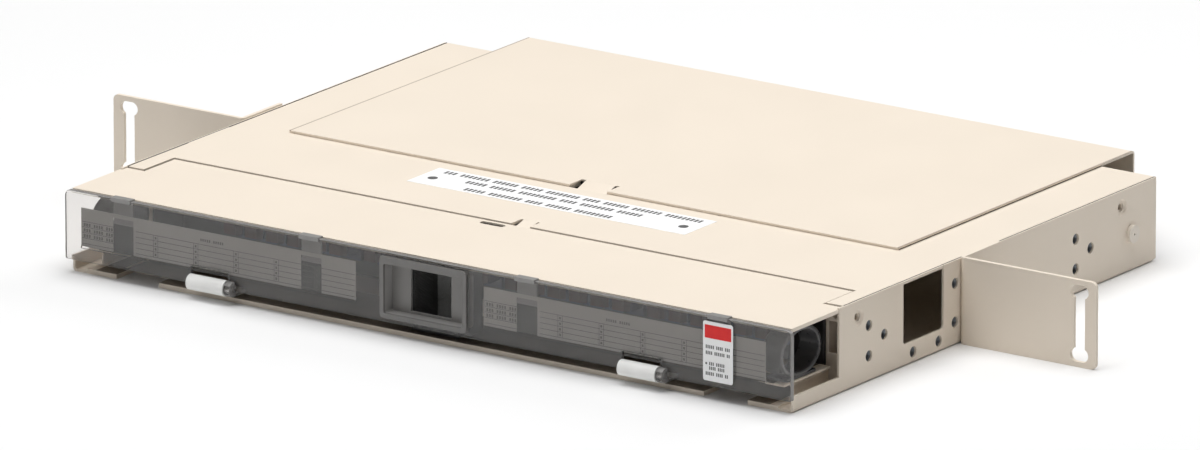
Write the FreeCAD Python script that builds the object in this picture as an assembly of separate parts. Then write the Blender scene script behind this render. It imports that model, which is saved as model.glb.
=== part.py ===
import FreeCAD, Part
import math
import os

V = FreeCAD.Vector

# A one-unit rack shelf for fibre terminations, in millimetres.
# X runs to the right, Y to the back and Z up. The pieces are drawn with Y counted from the front
# edge of the base lips and Z from the underside, and are moved at the end so that the origin lies
# under the middle of the whole object.

# Sheets and general clearances
sheet = 1.2
plate_sheet = 1.5
cover_sheet = 1.0
rear_sheet = 1.2
ear_sheet = 2.0
bend_radius = 0.8
slip = 0.3
seam = 1.2

# Chassis base
chassis_width = 427.0
wall_height = 43.0
rear_corner_length = 29.0
exit_length = 39.7
exit_sill = 8.4
hem_depth = 12.8
middle_lip = 323.4
lip_notch_width = 25.6
lip_notch_depth = 15.0
tail_gap = 0.5
tail_width = 360.0
rear_chamfer_length = 6.0
rear_chamfer_height = 1.5

# Side windows, open at the top of the wall
window_start = 94.8
window_length = 34.9
window_sill = 11.1
window_corner = 2.0

# Threaded inserts in the side walls
insert_hole = 5.6
insert_bore = 4.8
insert_outside = 6.8
insert_length = 3.0
triangle_circle = 17.6
triangle_height = 20.6
triangle_start = 69.6
triangle_pitch = 90.2
triangle_rear_setback = 67.0
low_pair_middle = 114.5
low_pair_spacing = 22.2
low_pair_height = 5.6
tall_pair_place = 139.6
tall_pair_spacing = 19.5
tall_pair_height = 21.6

# Countersunk holes for the top plate's tabs
sink_front = 56.4
sink_rear_setback = 30.4
sink_below_top = 8.5
sink_outside = 8.6
sink_hole = 4.5
sink_depth = 1.0
tab_thread = 3.3

# Round wall plugs
plug_setback = 22.0
plug_height = 19.2
plug_head = 9.0
plug_proud = 2.0
plug_stem = 6.0
plug_dimple = 1.2
plug_dimple_depth = 0.8

# Top plate
strip_start = 70.0
strip_depth = 68.0
arm_start = 44.5
arm_width = 9.3
ledge_depth = 10.0
cover_overlap = 8.0
tab_width = 9.0
tab_drop = 14.0
tongue_middle = 5.5
tongue_width = 8.2
tongue_gap = 1.4
tongue_depth = 8.5
tongue_reach = 7.5

# Front cover
cover_front = -0.5
cover_hem = 7.0
finger_slot_middle = -7.5
finger_slot_length = 14.4
finger_slot_width = 4.0
finger_slot_setback = 4.0

# Rear cover
rear_width = 363.4
rear_reach = 346.0
rear_lift = 0.2
rear_wall_gap = 1.5
rear_tongue_middle = -1.7
rear_tongue_width = 17.5
rear_tongue_gap = 2.4
rear_tongue_depth = 11.0
rear_tongue_reach = 7.0

# Rack ears
rack_spacing = 566.7
slot_pitch = 31.75
slot_length = 10.4
slot_width = 6.8
slot_link = 6.4
ear_margin = 9.65
ear_height = 44.0
ear_corner = 3.0
ear_place = 143.0
ear_flange = 33.6

# Ear screws
screw_shank = 4.4
screw_head = 8.0
screw_head_height = 2.4
screw_crown = 5.6
shank_slip = 0.1

# Snap posts that hold the mouldings in the floor
snap_length = 7.0
snap_width = 3.0
snap_slip = 0.1

# Front door
door_width = 430.6
door_bottom = 7.0
door_top = 42.3
door_front = -4.2
door_thickness = 2.5
door_corner = 3.0
door_foot_corner = 1.0
door_edge = 0.6

# Finger pocket in the door
pocket_width = 51.4
pocket_bottom = 9.2
pocket_top = 40.4
pocket_rim = 2.4
pocket_top_rim = 3.8
pocket_raise = 0.9
pocket_depth = 6.3
pocket_wall = 1.5
pocket_corner = 2.5
pocket_hole_width = 24.0
pocket_hole_bottom = 12.7
pocket_hole_top = 35.8

# Designation cards and their clips
card_length = 165.0
card_bottom = 14.5
card_top = 34.0
card_thickness = 0.25
card_gap = 0.3
card_left_start = -206.6
card_right_start = 34.4
clip_first = 25.5
clip_second = 138.5
clip_width = 11.6
clip_bottom = 28.9
clip_bead = 1.6
clip_nib = 1.4
clip_thickness = 0.7
card_foot = 1.2
card_strip = 2.0

# Hinges
hinge_place = 128.0
hinge_axis_y = -5.0
hinge_axis_z = 8.2
barrel_length = 22.0
barrel_diameter = 8.0
knuckle_width = 3.6
knuckle_diameter = 7.4
pin_diameter = 3.0
running_clearance = 0.05
hinge_gap = 0.4
hinge_notch_height = 9.0
hinge_foot_depth = 12.5
hinge_foot_height = 2.0
hinge_snap_setback = 8.5

# Door catch behind the pocket
catch_width = 28.0
catch_gap = 2.0
catch_depth = 21.0
catch_wall = 2.0
catch_floor = 1.6
catch_nose = 3.5
catch_nose_height = 2.0

# Adapter bulkhead
bulkhead_place = 72.0
bulkhead_width = 396.0
bulkhead_front = 47.8
shelf_depth = 13.0
shelf_inset = 8.0
bulkhead_foot = 14.0

# Wing plates between the bulkhead and the side walls
wing_return = 12.0
wing_top = 39.2
wing_window_inset = 1.6
wing_window_width = 7.0
wing_window_bottom = 17.0
wing_window_top = 33.0
wing_hole = 3.0

# Adapters and dust caps
adapter_pitch = 12.7
adapters_in_pack = 6
pack_count = 4
pack_gap = 8.0
adapter_width = 9.3
adapter_tall = 12.8
adapter_front = 12.0
adapter_back = 12.0
adapter_height = 20.0
adapter_slip = 0.2
collar_tall = 22.0
collar_width = 11.0
collar_thickness = 2.2
socket_width = 7.4
socket_tall = 9.2
socket_depth = 8.0
cap_length = 4.6
cap_plug = 5.0
cap_margin = 0.4
cap_taper = 0.8

# Cable rings in the side exits, each on a plate that lies on a channel
ring_inset = 14.5
ring_place = 20.4
ring_lift = 0.3
ring_width = 12.0
ring_long = 34.0
ring_tall = 25.0
ring_wall = 2.4
ring_rim = 0.8
ring_foot_length = 24.0
ring_foot_width = 12.4
ring_foot_height = 1.2
ring_neck_width = 7.2
ring_neck_length = 9.6
ring_snap_spacing = 10.0
ring_plate_width = 14.8
ring_plate_start = 4.5
ring_plate_end = 43.0
channel_width = 14.0
channel_reach = 6.0
channel_rise = 9.8

# Slack spools in the rear space
spool_place_x = 95.0
spool_place_y = 222.0
spool_hub = 62.0
spool_height = 33.0
spool_wall = 3.4
spool_finger_width = 16.0
spool_finger_reach = 11.0
spool_finger_thickness = 2.0
spool_fingers = 4

# Cable tie brackets at the rear entries
tie_place_x = 150.0
tie_width = 16.0
tie_bridge = 20.0
tie_foot = 11.0
tie_rise = 8.0
tie_slot_length = 9.0
tie_slot_width = 4.0
tie_slot_spacing = 9.0
tie_setback = 4.0

# Label and sticker
label_middle = -1.7
label_width = 165.5
label_depth = 28.0
label_setback = 31.0
label_thickness = 0.15
sticker_middle = 173.0
sticker_width = 17.4
sticker_bottom = 9.8
sticker_top = 39.6
sticker_corner = 1.2

# Places that follow from the sizes above
half_width = chassis_width / 2
inner_half = half_width - sheet
plate_under = wall_height - plate_sheet
plate_half = inner_half - slip
strip_end = strip_start + strip_depth
rear_half = rear_width / 2
hem_top = 2 * sheet
door_back = door_front + door_thickness
pocket_floor = door_front + pocket_depth
pocket_back = pocket_floor + pocket_wall
catch_front = pocket_back + catch_gap
catch_back = catch_front + catch_depth
barrel_radius = barrel_diameter / 2
knuckle_start = barrel_length / 2 + hinge_gap
knuckle_end = knuckle_start + knuckle_width
clip_offsets = (clip_first, clip_second)
ring_x = half_width - ring_inset
wall_length = rear_reach - rear_corner_length
sink_rear = wall_length - sink_rear_setback
plug_place = wall_length - plug_setback
triangle_middles = (triangle_start, triangle_start + triangle_pitch, wall_length - triangle_rear_setback)
channel_top = sheet + channel_rise
ring_seat = channel_top + sheet
ring_height = ring_seat + ring_lift + ring_tall / 2
front_reach = hinge_axis_y - barrel_radius
middle_y = (front_reach + rear_reach) / 2
near = 0.001
past = 5.0


def box(x0, x1, y0, y1, z0, z1):
    return Part.makeBox(x1 - x0, y1 - y0, z1 - z0, V(x0, y0, z0))


def rod_x(diameter, x0, x1, y, z):
    return Part.makeCylinder(diameter / 2, x1 - x0, V(x0, y, z), V(1, 0, 0))


def rod_y(diameter, y0, y1, x, z):
    return Part.makeCylinder(diameter / 2, y1 - y0, V(x, y0, z), V(0, 1, 0))


def rod_z(diameter, z0, z1, x, y):
    return Part.makeCylinder(diameter / 2, z1 - z0, V(x, y, z0), V(0, 0, 1))


def prism(corners, run):
    outline = Part.makePolygon(corners + corners[:1])
    return Part.Face(outline).extrude(run)


def prism_x(corners, x0, x1):
    return prism([V(x0, y, z) for y, z in corners], V(x1 - x0, 0, 0))


def prism_z(corners, z0, z1):
    return prism([V(x, y, z0) for x, y in corners], V(0, 0, z1 - z0))


def mirrored(shape):
    return shape.mirror(V(0, 0, 0), V(1, 0, 0))


def joined(first, others):
    return first.fuse(others).removeSplitter()


def edges_at(shape, **place):
    """Edges whose ends all lie at the given x, y or z."""
    number = {"x": 0, "y": 1, "z": 2}

    def fits(edge):
        ends = [vertex.Point for vertex in edge.Vertexes]
        return all(abs(end[number[axis]] - at) < near for end in ends for axis, at in place.items())

    return [edge for edge in shape.Edges if fits(edge)]


def rounded(shape, radius, **place):
    return shape.makeFillet(radius, edges_at(shape, **place))


def rounded_box(x0, x1, y0, y1, z0, z1, radius, along):
    """A box with its four edges along one axis rounded."""
    sides = {"x": (x0, x1), "y": (y0, y1), "z": (z0, z1)}
    del sides[along]
    (first, firsts), (second, seconds) = sides.items()
    shape = box(x0, x1, y0, y1, z0, z1)
    edges = [
        edge
        for at in firsts
        for to in seconds
        for edge in edges_at(shape, **{first: at, second: to})
    ]
    return shape.makeFillet(radius, edges)


def parallel(path, thickness):
    """The path moved to its left by a thickness, with its corners kept sharp."""
    lefts = []
    for (u0, v0), (u1, v1) in zip(path, path[1:]):
        length = math.hypot(u1 - u0, v1 - v0)
        lefts.append(((v0 - v1) / length, (u1 - u0) / length))
    moved = []
    for index, (u, v) in enumerate(path):
        before = lefts[max(index - 1, 0)]
        after = lefts[min(index, len(lefts) - 1)]
        scale = thickness / (1 + before[0] * after[0] + before[1] * after[1])
        moved.append((u + (before[0] + after[0]) * scale, v + (before[1] + after[1]) * scale))
    return moved


def folded(path, thickness, to_space, run):
    """A folded sheet: one skin follows the path, the sheet lies to its left, the bends are round."""
    skin = parallel(path, thickness)
    shape = prism([to_space(u, v) for u, v in path + skin[::-1]], run)
    insides = []
    outsides = []
    for index in range(1, len(path) - 1):
        (u0, v0), (u1, v1), (u2, v2) = path[index - 1 : index + 2]
        left_turn = (u1 - u0) * (v2 - v1) - (v1 - v0) * (u2 - u1) > 0
        inside, outside = (skin, path) if left_turn else (path, skin)
        insides.append(to_space(*inside[index]))
        outsides.append(to_space(*outside[index]))
    for corners, radius in ((insides, bend_radius), (outsides, bend_radius + thickness)):
        edges = [
            edge
            for edge in shape.Edges
            for corner in corners
            if any(vertex.Point.isEqual(corner, near) for vertex in edge.Vertexes)
            and edge.tangentAt(edge.FirstParameter).cross(run).Length < near
        ]
        shape = shape.makeFillet(radius, edges)
    return shape


def obround(x, z, length, width, y0, y1):
    """A slot along X with round ends, cut along Y."""
    reach = (length - width) / 2
    middle = box(x - reach, x + reach, y0, y1, z - width / 2, z + width / 2)
    return joined(middle, [rod_y(width, y0, y1, x - reach, z), rod_y(width, y0, y1, x + reach, z)])


def flat_slot(x, y, length, width, z0, z1):
    """A slot along X with round ends, cut along Z."""
    reach = (length - width) / 2
    middle = box(x - reach, x + reach, y - width / 2, y + width / 2, z0, z1)
    return joined(middle, [rod_z(width, z0, z1, x - reach, y), rod_z(width, z0, z1, x + reach, y)])


def triangle(index):
    """The three insert places, as y and z, of one triangle on a side wall."""
    middle = triangle_middles[index]
    radius = triangle_circle / 2
    angles = [math.radians(120 * corner) for corner in range(3)]
    return [(middle + radius * math.cos(a), triangle_height + radius * math.sin(a)) for a in angles]


def insert_places():
    places = triangle(0) + triangle(1) + triangle(2)
    for side in (-1, 1):
        places.append((low_pair_middle + side * low_pair_spacing / 2, low_pair_height))
        places.append((tall_pair_place, tall_pair_height + side * tall_pair_spacing / 2))
    return places


def snap_places():
    """Where each moulding's snap posts go through the sheet below it, as x and y."""
    catch_y = (hem_depth + slip + catch_back) / 2
    signs = (-1, 1)
    spool_reach = (spool_hub - spool_wall) / 2
    return {
        "hinge": [(side * hinge_place, hinge_snap_setback) for side in signs],
        "catch": [(0, catch_y)],
        "ring": [
            (side * ring_x, ring_place + end * ring_snap_spacing / 2) for side in signs for end in signs
        ],
        "spool": [
            (side * spool_place_x, spool_place_y + end * spool_reach) for side in signs for end in signs
        ],
    }


def snap_posts(group, bottom, top):
    """The posts of one group on the right-hand side, down from a moulding's foot."""
    return [
        box(x - snap_length / 2, x + snap_length / 2, y - snap_width / 2, y + snap_width / 2, bottom, top)
        for x, y in snap_places()[group]
        if x >= 0
    ]


def snap_holes(groups, level):
    """The holes for the posts of some groups, in the sheets near one level."""
    long = snap_length / 2 + snap_slip
    wide = snap_width / 2 + snap_slip
    return [
        box(x - long, x + long, y - wide, y + wide, level - past, level + past)
        for group in groups
        for x, y in snap_places()[group]
    ]


def chassis_base():
    def across(x, z):
        return V(x, 0, z)

    path = [(-half_width, wall_height), (-half_width, 0), (half_width, 0), (half_width, wall_height)]
    base = folded(path, sheet, across, V(0, wall_length, 0))
    hem = box(-half_width + exit_sill, half_width - exit_sill, 0, hem_depth, sheet / 2, hem_top)
    tail_end = rear_reach - rear_sheet - tail_gap
    tail = box(-tail_width / 2, tail_width / 2, wall_length - past, tail_end, 0, sheet)
    base = joined(base, [hem, tail])
    cuts = []
    for side in (-1, 1):
        exit_cut = box(0, half_width, -past, exit_length, exit_sill, wall_height + past)
        notch_from = middle_lip / 2
        notch = box(notch_from, notch_from + lip_notch_width, -past, lip_notch_depth, -past, exit_sill)
        window = rounded_box(
            inner_half - past,
            half_width + past,
            window_start,
            window_start + window_length,
            window_sill,
            wall_height + 2 * past,
            window_corner,
            "x",
        )
        corner = prism_x(
            [
                (wall_length + near, -near),
                (wall_length - rear_chamfer_length, -near),
                (wall_length + near, rear_chamfer_height),
            ],
            tail_width / 2 + past,
            half_width + past,
        )
        holes = [rod_x(insert_hole, inner_half - past, half_width + past, y, z) for y, z in insert_places()]
        holes.append(rod_x(plug_stem, inner_half - past, half_width + past, plug_place, plug_height))
        for y in (sink_front, sink_rear):
            z = wall_height - sink_below_top
            holes.append(rod_x(sink_hole, inner_half - past, half_width + past, y, z))
            rim = sink_outside / 2
            start = V(half_width - sink_depth, y, z)
            holes.append(Part.makeCone(rim - sink_depth, rim, sink_depth, start, V(1, 0, 0)))
        group = [exit_cut, notch, window, corner] + holes
        cuts += group if side > 0 else [mirrored(shape) for shape in group]
    return base.cut(cuts + snap_holes(("hinge", "catch", "spool"), 0))


def lanced_tongue(edge, depth, reach, under, thickness, x0, x1):
    """A tongue cut in from a sheet's front edge, which slopes down to run under the sheet before it."""
    low = plate_under - slip - thickness
    return prism_x(
        [
            (edge + depth + thickness, under),
            (edge + depth + thickness, under + thickness),
            (edge + depth, under + thickness),
            (edge + thickness, low + thickness),
            (edge - reach, low + thickness),
            (edge - reach, low),
            (edge + 2 * thickness, low),
        ],
        x0,
        x1,
    )


def top_plate():
    rear_open = rear_half - cover_overlap
    plate = box(-plate_half, plate_half, arm_start, wall_length, plate_under, wall_height)
    window_tab = box(
        plate_half - past,
        half_width,
        window_start + slip,
        window_start + window_length - slip,
        plate_under,
        wall_height,
    )
    extras = [window_tab, mirrored(window_tab)]
    threads = []
    for y in (sink_front, sink_rear):
        tab = box(
            plate_half - plate_sheet,
            plate_half,
            y - tab_width / 2,
            y + tab_width / 2,
            plate_under - tab_drop,
            wall_height - plate_sheet / 2,
        )
        z = wall_height - sink_below_top
        thread = rod_x(tab_thread, plate_half - past, plate_half + past, y, z)
        extras += [tab, mirrored(tab)]
        threads += [thread, mirrored(thread)]
    plate = joined(plate, extras)
    arm_inside = plate_half - arm_width
    front_cut = box(-arm_inside, arm_inside, arm_start - past, strip_start, 0, wall_height + past)
    ledge_end = strip_end + ledge_depth
    rear_cut = box(-rear_open, rear_open, ledge_end, wall_length + past, 0, wall_height + past)
    tongue_half = tongue_width / 2
    tongue_cut = box(
        tongue_middle - tongue_half - tongue_gap,
        tongue_middle + tongue_half + tongue_gap,
        strip_start - past,
        strip_start + tongue_depth,
        0,
        wall_height + past,
    )
    rear_tongue_half = rear_tongue_width / 2 + rear_tongue_gap
    rear_tongue_cut = box(
        rear_tongue_middle - rear_tongue_half,
        rear_tongue_middle + rear_tongue_half,
        strip_end,
        strip_end + ledge_depth + past,
        0,
        wall_height + past,
    )
    tongue = lanced_tongue(
        strip_start,
        tongue_depth,
        tongue_reach,
        plate_under,
        plate_sheet,
        tongue_middle - tongue_half,
        tongue_middle + tongue_half,
    )
    return joined(plate.cut([front_cut, rear_cut, tongue_cut, rear_tongue_cut] + threads), [tongue])


def front_cover():
    cover_top = plate_under + cover_sheet
    back = strip_start - seam
    wide = half_width - slip
    between_walls = inner_half - slip
    between_arms = plate_half - arm_width - seam
    shoulder = arm_start - seam
    right = [
        (wide, cover_front),
        (wide, exit_length - slip),
        (between_walls, exit_length - slip),
        (between_walls, shoulder),
        (between_arms, shoulder),
        (between_arms, back),
    ]
    left = [(-x, y) for x, y in right[::-1]]
    cover = prism_z(right + left, plate_under, cover_top)
    hem_under = plate_under - cover_sheet
    hem_in = plate_under + cover_sheet / 2
    front_hem = box(-wide, wide, cover_front, cover_front + cover_hem, hem_under, hem_in)
    side_hem = box(wide - cover_hem, wide, cover_front, exit_length - slip, hem_under, hem_in)
    cover = joined(cover, [front_hem, side_hem, mirrored(side_hem)])
    slot = flat_slot(
        finger_slot_middle,
        back - finger_slot_setback,
        finger_slot_length,
        finger_slot_width,
        plate_under - past,
        cover_top + past,
    )
    return cover.cut(slot)


def rear_cover():
    under = wall_height + rear_lift

    def lengthwise(y, z):
        return V(-rear_half, y, z)

    path = [(strip_end, under), (rear_reach - rear_sheet, under), (rear_reach - rear_sheet, rear_wall_gap)]
    cover = folded(path, rear_sheet, lengthwise, V(rear_width, 0, 0))
    tongue_half = rear_tongue_width / 2
    notch = box(
        rear_tongue_middle - tongue_half - rear_tongue_gap,
        rear_tongue_middle + tongue_half + rear_tongue_gap,
        strip_end - past,
        strip_end + rear_tongue_depth,
        under - past,
        under + past,
    )
    tongue = lanced_tongue(
        strip_end,
        rear_tongue_depth,
        rear_tongue_reach,
        under,
        rear_sheet,
        rear_tongue_middle - tongue_half,
        rear_tongue_middle + tongue_half,
    )
    return joined(cover.cut(notch), [tongue])


def ear_bracket():
    """The right rack ear: a flange on the wall and a face with a dog-bone slot."""
    slot_x = rack_spacing / 2
    edge_x = slot_x + ear_margin
    back = ear_place + ear_flange

    def plan(x, y):
        return V(x, y, 0)

    path = [(half_width, back), (half_width, ear_place), (edge_x, ear_place)]
    ear = folded(path, ear_sheet, plan, V(0, 0, ear_height))
    for z in (0, ear_height):
        ear = rounded(ear, ear_corner, x=edge_x, z=z)
    centre = ear_height / 2
    link = box(
        slot_x - slot_link / 2,
        slot_x + slot_link / 2,
        ear_place - past,
        ear_place + past,
        centre - slot_pitch / 2,
        centre + slot_pitch / 2,
    )
    cuts = [link]
    for side in (-1, 1):
        z = centre + side * slot_pitch / 2
        cuts.append(obround(slot_x, z, slot_length, slot_width, ear_place - past, ear_place + past))
    for y, z in triangle(1):
        cuts.append(rod_x(screw_shank + shank_slip, half_width - past, half_width + past, y, z))
    return ear.cut(cuts)


def ear_screw(y, z):
    """A pan-head screw through the ear's flange into an insert of the right wall."""
    seat = half_width + ear_sheet
    shank = rod_x(screw_shank, inner_half - insert_length, seat, y, z)
    head = Part.makeCone(screw_head / 2, screw_crown / 2, screw_head_height, V(seat, y, z), V(1, 0, 0))
    return joined(shank, [head])


def ear_screws():
    right = [ear_screw(y, z) for y, z in triangle(1)]
    return Part.makeCompound(right + [mirrored(screw) for screw in right])


def wall_insert(y, z):
    reach = insert_outside / math.sqrt(3)
    angles = [math.radians(60 * corner) for corner in range(6)]
    outline = [(y + reach * math.cos(a), z + reach * math.sin(a)) for a in angles]
    nut = prism_x(outline, inner_half - insert_length, inner_half)
    return nut.cut(rod_x(insert_bore, inner_half - insert_length - past, inner_half + past, y, z))


def wall_inserts():
    return Part.makeCompound([wall_insert(y, z) for y, z in insert_places()])


def wall_plug():
    face = half_width + plug_proud
    head = rod_x(plug_head, half_width, face, plug_place, plug_height)
    stem = rod_x(plug_stem - shank_slip, inner_half - sheet, half_width, plug_place, plug_height)
    dimple = rod_x(plug_dimple, face - plug_dimple_depth, face + past, plug_place, plug_height)
    return joined(head, [stem]).cut(dimple)


def hinge_knuckles():
    """A round lug at the right of each hinge barrel and the block that joins it to the door."""
    lugs = []
    for place in (-hinge_place, hinge_place):
        x0 = place + knuckle_start
        x1 = place + knuckle_end
        round_end = rod_x(knuckle_diameter, x0, x1, hinge_axis_y, hinge_axis_z)
        reach = box(
            x0,
            x1,
            hinge_axis_y,
            door_back,
            hinge_axis_z - knuckle_diameter / 2,
            hinge_axis_z + knuckle_diameter / 2,
        )
        lugs += [round_end, reach]
    return lugs


def card_ledge(start):
    """The ledge on the door's back that a card stands on."""
    return box(
        start,
        start + card_length,
        door_back - card_foot,
        door_back + card_foot,
        card_bottom - card_foot,
        card_bottom,
    )


def front_door():
    half = door_width / 2
    door = box(-half, half, door_front, door_back, door_bottom, door_top)
    for side in (-half, half):
        door = rounded(door, door_corner, x=side, z=door_top)
        door = rounded(door, door_foot_corner, x=side, z=door_bottom)
    door = rounded(door, door_edge, y=door_front)
    rim = rounded_box(
        -pocket_width / 2,
        pocket_width / 2,
        door_front - pocket_raise,
        door_front + door_edge,
        pocket_bottom,
        pocket_top,
        pocket_corner,
        "y",
    )
    recess_half = pocket_width / 2 - pocket_rim
    recess_low = pocket_bottom + pocket_rim
    recess_high = pocket_top - pocket_top_rim
    shell = rounded_box(
        -recess_half - pocket_wall,
        recess_half + pocket_wall,
        door_front,
        pocket_back,
        recess_low - pocket_wall,
        recess_high + pocket_wall,
        pocket_corner,
        "y",
    )
    ledges = [card_ledge(card_left_start), card_ledge(card_right_start)]
    notches = []
    for side in (-1, 1):
        notch_half = barrel_length / 2 + hinge_gap
        notches.append(
            box(
                side * hinge_place - notch_half,
                side * hinge_place + notch_half,
                door_front - past,
                door_back + past,
                door_bottom - past,
                door_bottom + hinge_notch_height,
            )
        )
    door = joined(door.cut(notches), [rim, shell] + hinge_knuckles() + ledges)
    recess = rounded_box(
        -recess_half,
        recess_half,
        door_front - past,
        pocket_floor,
        recess_low,
        recess_high,
        pocket_corner - pocket_wall,
        "y",
    )
    hole = box(
        -pocket_hole_width / 2,
        pocket_hole_width / 2,
        door_front,
        pocket_back + past,
        pocket_hole_bottom,
        pocket_hole_top,
    )
    bore = pin_diameter + 2 * running_clearance
    bores = [
        rod_x(bore, place, place + knuckle_end, hinge_axis_y, hinge_axis_z)
        for place in (-hinge_place, hinge_place)
    ]
    return door.cut([recess, hole] + bores)


def designation_card(start):
    front = door_back + card_gap
    card = box(start, start + card_length, front, front + card_thickness, card_bottom, card_top)
    notches = []
    for offset in clip_offsets:
        x0 = start + offset - clip_width / 2 - slip
        notches.append(
            box(
                x0,
                x0 + clip_width + 2 * slip,
                door_back - past,
                door_back + past,
                card_bottom - past,
                card_top - card_strip,
            )
        )
    return card.cut(notches)


def card_clip(x):
    """One clip: a saddle over the door's top edge and a springy leg with a bead behind the card."""
    x0 = x - clip_width / 2
    x1 = x + clip_width / 2
    front = door_front - clip_thickness
    over = door_top + clip_thickness
    pad_front = door_back + card_gap
    leg_front = pad_front + card_thickness + slip / 2
    leg_back = leg_front + clip_thickness
    leg_top = plate_under - cover_sheet - seam
    clip = prism_x(
        [
            (front, over),
            (front, door_top - clip_nib),
            (door_front, door_top - clip_nib),
            (door_front, door_top),
            (pad_front, door_top),
            (pad_front, card_top + slip),
            (leg_front, card_top + slip),
            (leg_front, clip_bottom),
            (leg_back, clip_bottom),
            (leg_back, leg_top),
            (pad_front + clip_thickness, leg_top),
            (pad_front + clip_thickness, over),
        ],
        x0,
        x1,
    )
    bead = box(
        x0 - clip_thickness,
        x1 + clip_thickness,
        leg_front,
        leg_back,
        clip_bottom,
        clip_bottom + clip_bead,
    )
    return joined(clip, [bead])


def card_clips():
    starts = (card_left_start, card_right_start)
    return Part.makeCompound([card_clip(start + offset) for start in starts for offset in clip_offsets])


def hinge_barrel():
    """The right hinge's white barrel and the foot that carries it on the middle lip."""
    x0 = hinge_place - barrel_length / 2
    x1 = hinge_place + barrel_length / 2
    barrel = rod_x(barrel_diameter, x0, x1, hinge_axis_y, hinge_axis_z)
    foot_top = hem_top + hinge_foot_height
    foot = prism_x(
        [
            (hinge_axis_y, hinge_axis_z - barrel_radius),
            (0, hem_top),
            (hinge_foot_depth, hem_top),
            (hinge_foot_depth, foot_top),
            (hinge_foot_height, foot_top),
            (hinge_axis_y + barrel_radius, hinge_axis_z),
            (hinge_axis_y, hinge_axis_z),
        ],
        x0,
        x1,
    )
    bore = rod_x(pin_diameter + 2 * running_clearance, x0 - past, x1 + past, hinge_axis_y, hinge_axis_z)
    return joined(barrel, [foot] + snap_posts("hinge", 0, foot_top)).cut(bore)


def hinge_pin(place):
    """One hinge's pin, through its barrel and the door's lug."""
    return rod_x(
        pin_diameter, place - barrel_length / 2, place + knuckle_end, hinge_axis_y, hinge_axis_z
    )


def door_catch():
    """The catch behind the door's pocket: a housing open to the front, with a nose along its top edge."""
    half = catch_width / 2
    top = pocket_hole_top - slip
    floor_top = hem_top + catch_floor
    housing = prism_x(
        [
            (catch_front, hem_top),
            (catch_front, top),
            (catch_back, top),
            (catch_back, sheet),
            (hem_depth + slip, sheet),
            (hem_depth + slip, hem_top),
        ],
        -half,
        half,
    )
    inside = box(
        catch_wall - half,
        half - catch_wall,
        catch_front - past,
        catch_back - catch_wall,
        floor_top,
        top - catch_nose_height,
    )
    nose_half = pocket_hole_width / 2 - 2 * slip
    nose = prism_x(
        [
            (catch_front, top - catch_nose_height),
            (catch_front - catch_nose, top - catch_nose_height / 2),
            (catch_front - catch_nose, top),
            (catch_front, top),
        ],
        -nose_half,
        nose_half,
    )
    return joined(housing.cut(inside), [nose] + snap_posts("catch", 0, floor_top))


def adapter_places():
    pack_pitch = adapters_in_pack * adapter_pitch + pack_gap
    packs = []
    for pack in range(pack_count):
        middle = (pack - (pack_count - 1) / 2) * pack_pitch
        first = middle - (adapters_in_pack - 1) / 2 * adapter_pitch
        packs.append([first + number * adapter_pitch for number in range(adapters_in_pack)])
    return packs


def adapter_bulkhead():
    """The folded sheet behind the door that holds the adapters and carries the top's inner edges."""
    half = bulkhead_width / 2

    def plan(x, y):
        return V(x, y, sheet)

    path = [(-half, bulkhead_front), (-half, bulkhead_place), (half, bulkhead_place), (half, bulkhead_front)]
    panel = folded(path, sheet, plan, V(0, 0, plate_under - sheet))
    flange_half = half - shelf_inset
    shelf = box(
        -flange_half,
        flange_half,
        bulkhead_place - shelf_depth,
        bulkhead_place + sheet,
        plate_under - sheet,
        plate_under,
    )
    foot = box(
        -flange_half,
        flange_half,
        bulkhead_place,
        bulkhead_place + sheet + bulkhead_foot,
        sheet,
        2 * sheet,
    )
    cuts = []
    for pack in adapter_places():
        for x in pack:
            wide = adapter_width / 2 + adapter_slip
            tall = adapter_tall / 2 + adapter_slip
            cuts.append(
                box(
                    x - wide,
                    x + wide,
                    bulkhead_place - past,
                    bulkhead_place + past,
                    adapter_height - tall,
                    adapter_height + tall,
                )
            )
    cuts.append(
        box(
            finger_slot_middle - finger_slot_length / 2 - tongue_gap,
            tongue_middle + tongue_width / 2 + tongue_gap,
            bulkhead_place - shelf_depth - past,
            bulkhead_place + past,
            plate_under - past,
            plate_under + past,
        )
    )
    return joined(panel, [shelf, foot]).cut(cuts)


def wing_plate():
    """The right wing plate: a return on the bulkhead's side and a face with a cord window."""
    side = bulkhead_width / 2 + sheet
    reach = inner_half - bend_radius - slip

    def plan(x, y):
        return V(x, y, sheet)

    path = [(side, bulkhead_front + wing_return), (side, bulkhead_front), (reach, bulkhead_front)]
    plate = folded(path, sheet, plan, V(0, 0, wing_top - sheet))
    window_from = side + sheet + wing_window_inset
    front = bulkhead_front - past
    back = bulkhead_front + past
    window = box(
        window_from, window_from + wing_window_width, front, back, wing_window_bottom, wing_window_top
    )
    hole = rod_y(
        wing_hole, front, back, window_from + wing_window_width / 2, (wing_window_top + wing_top) / 2
    )
    return plate.cut([window, hole])


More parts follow.
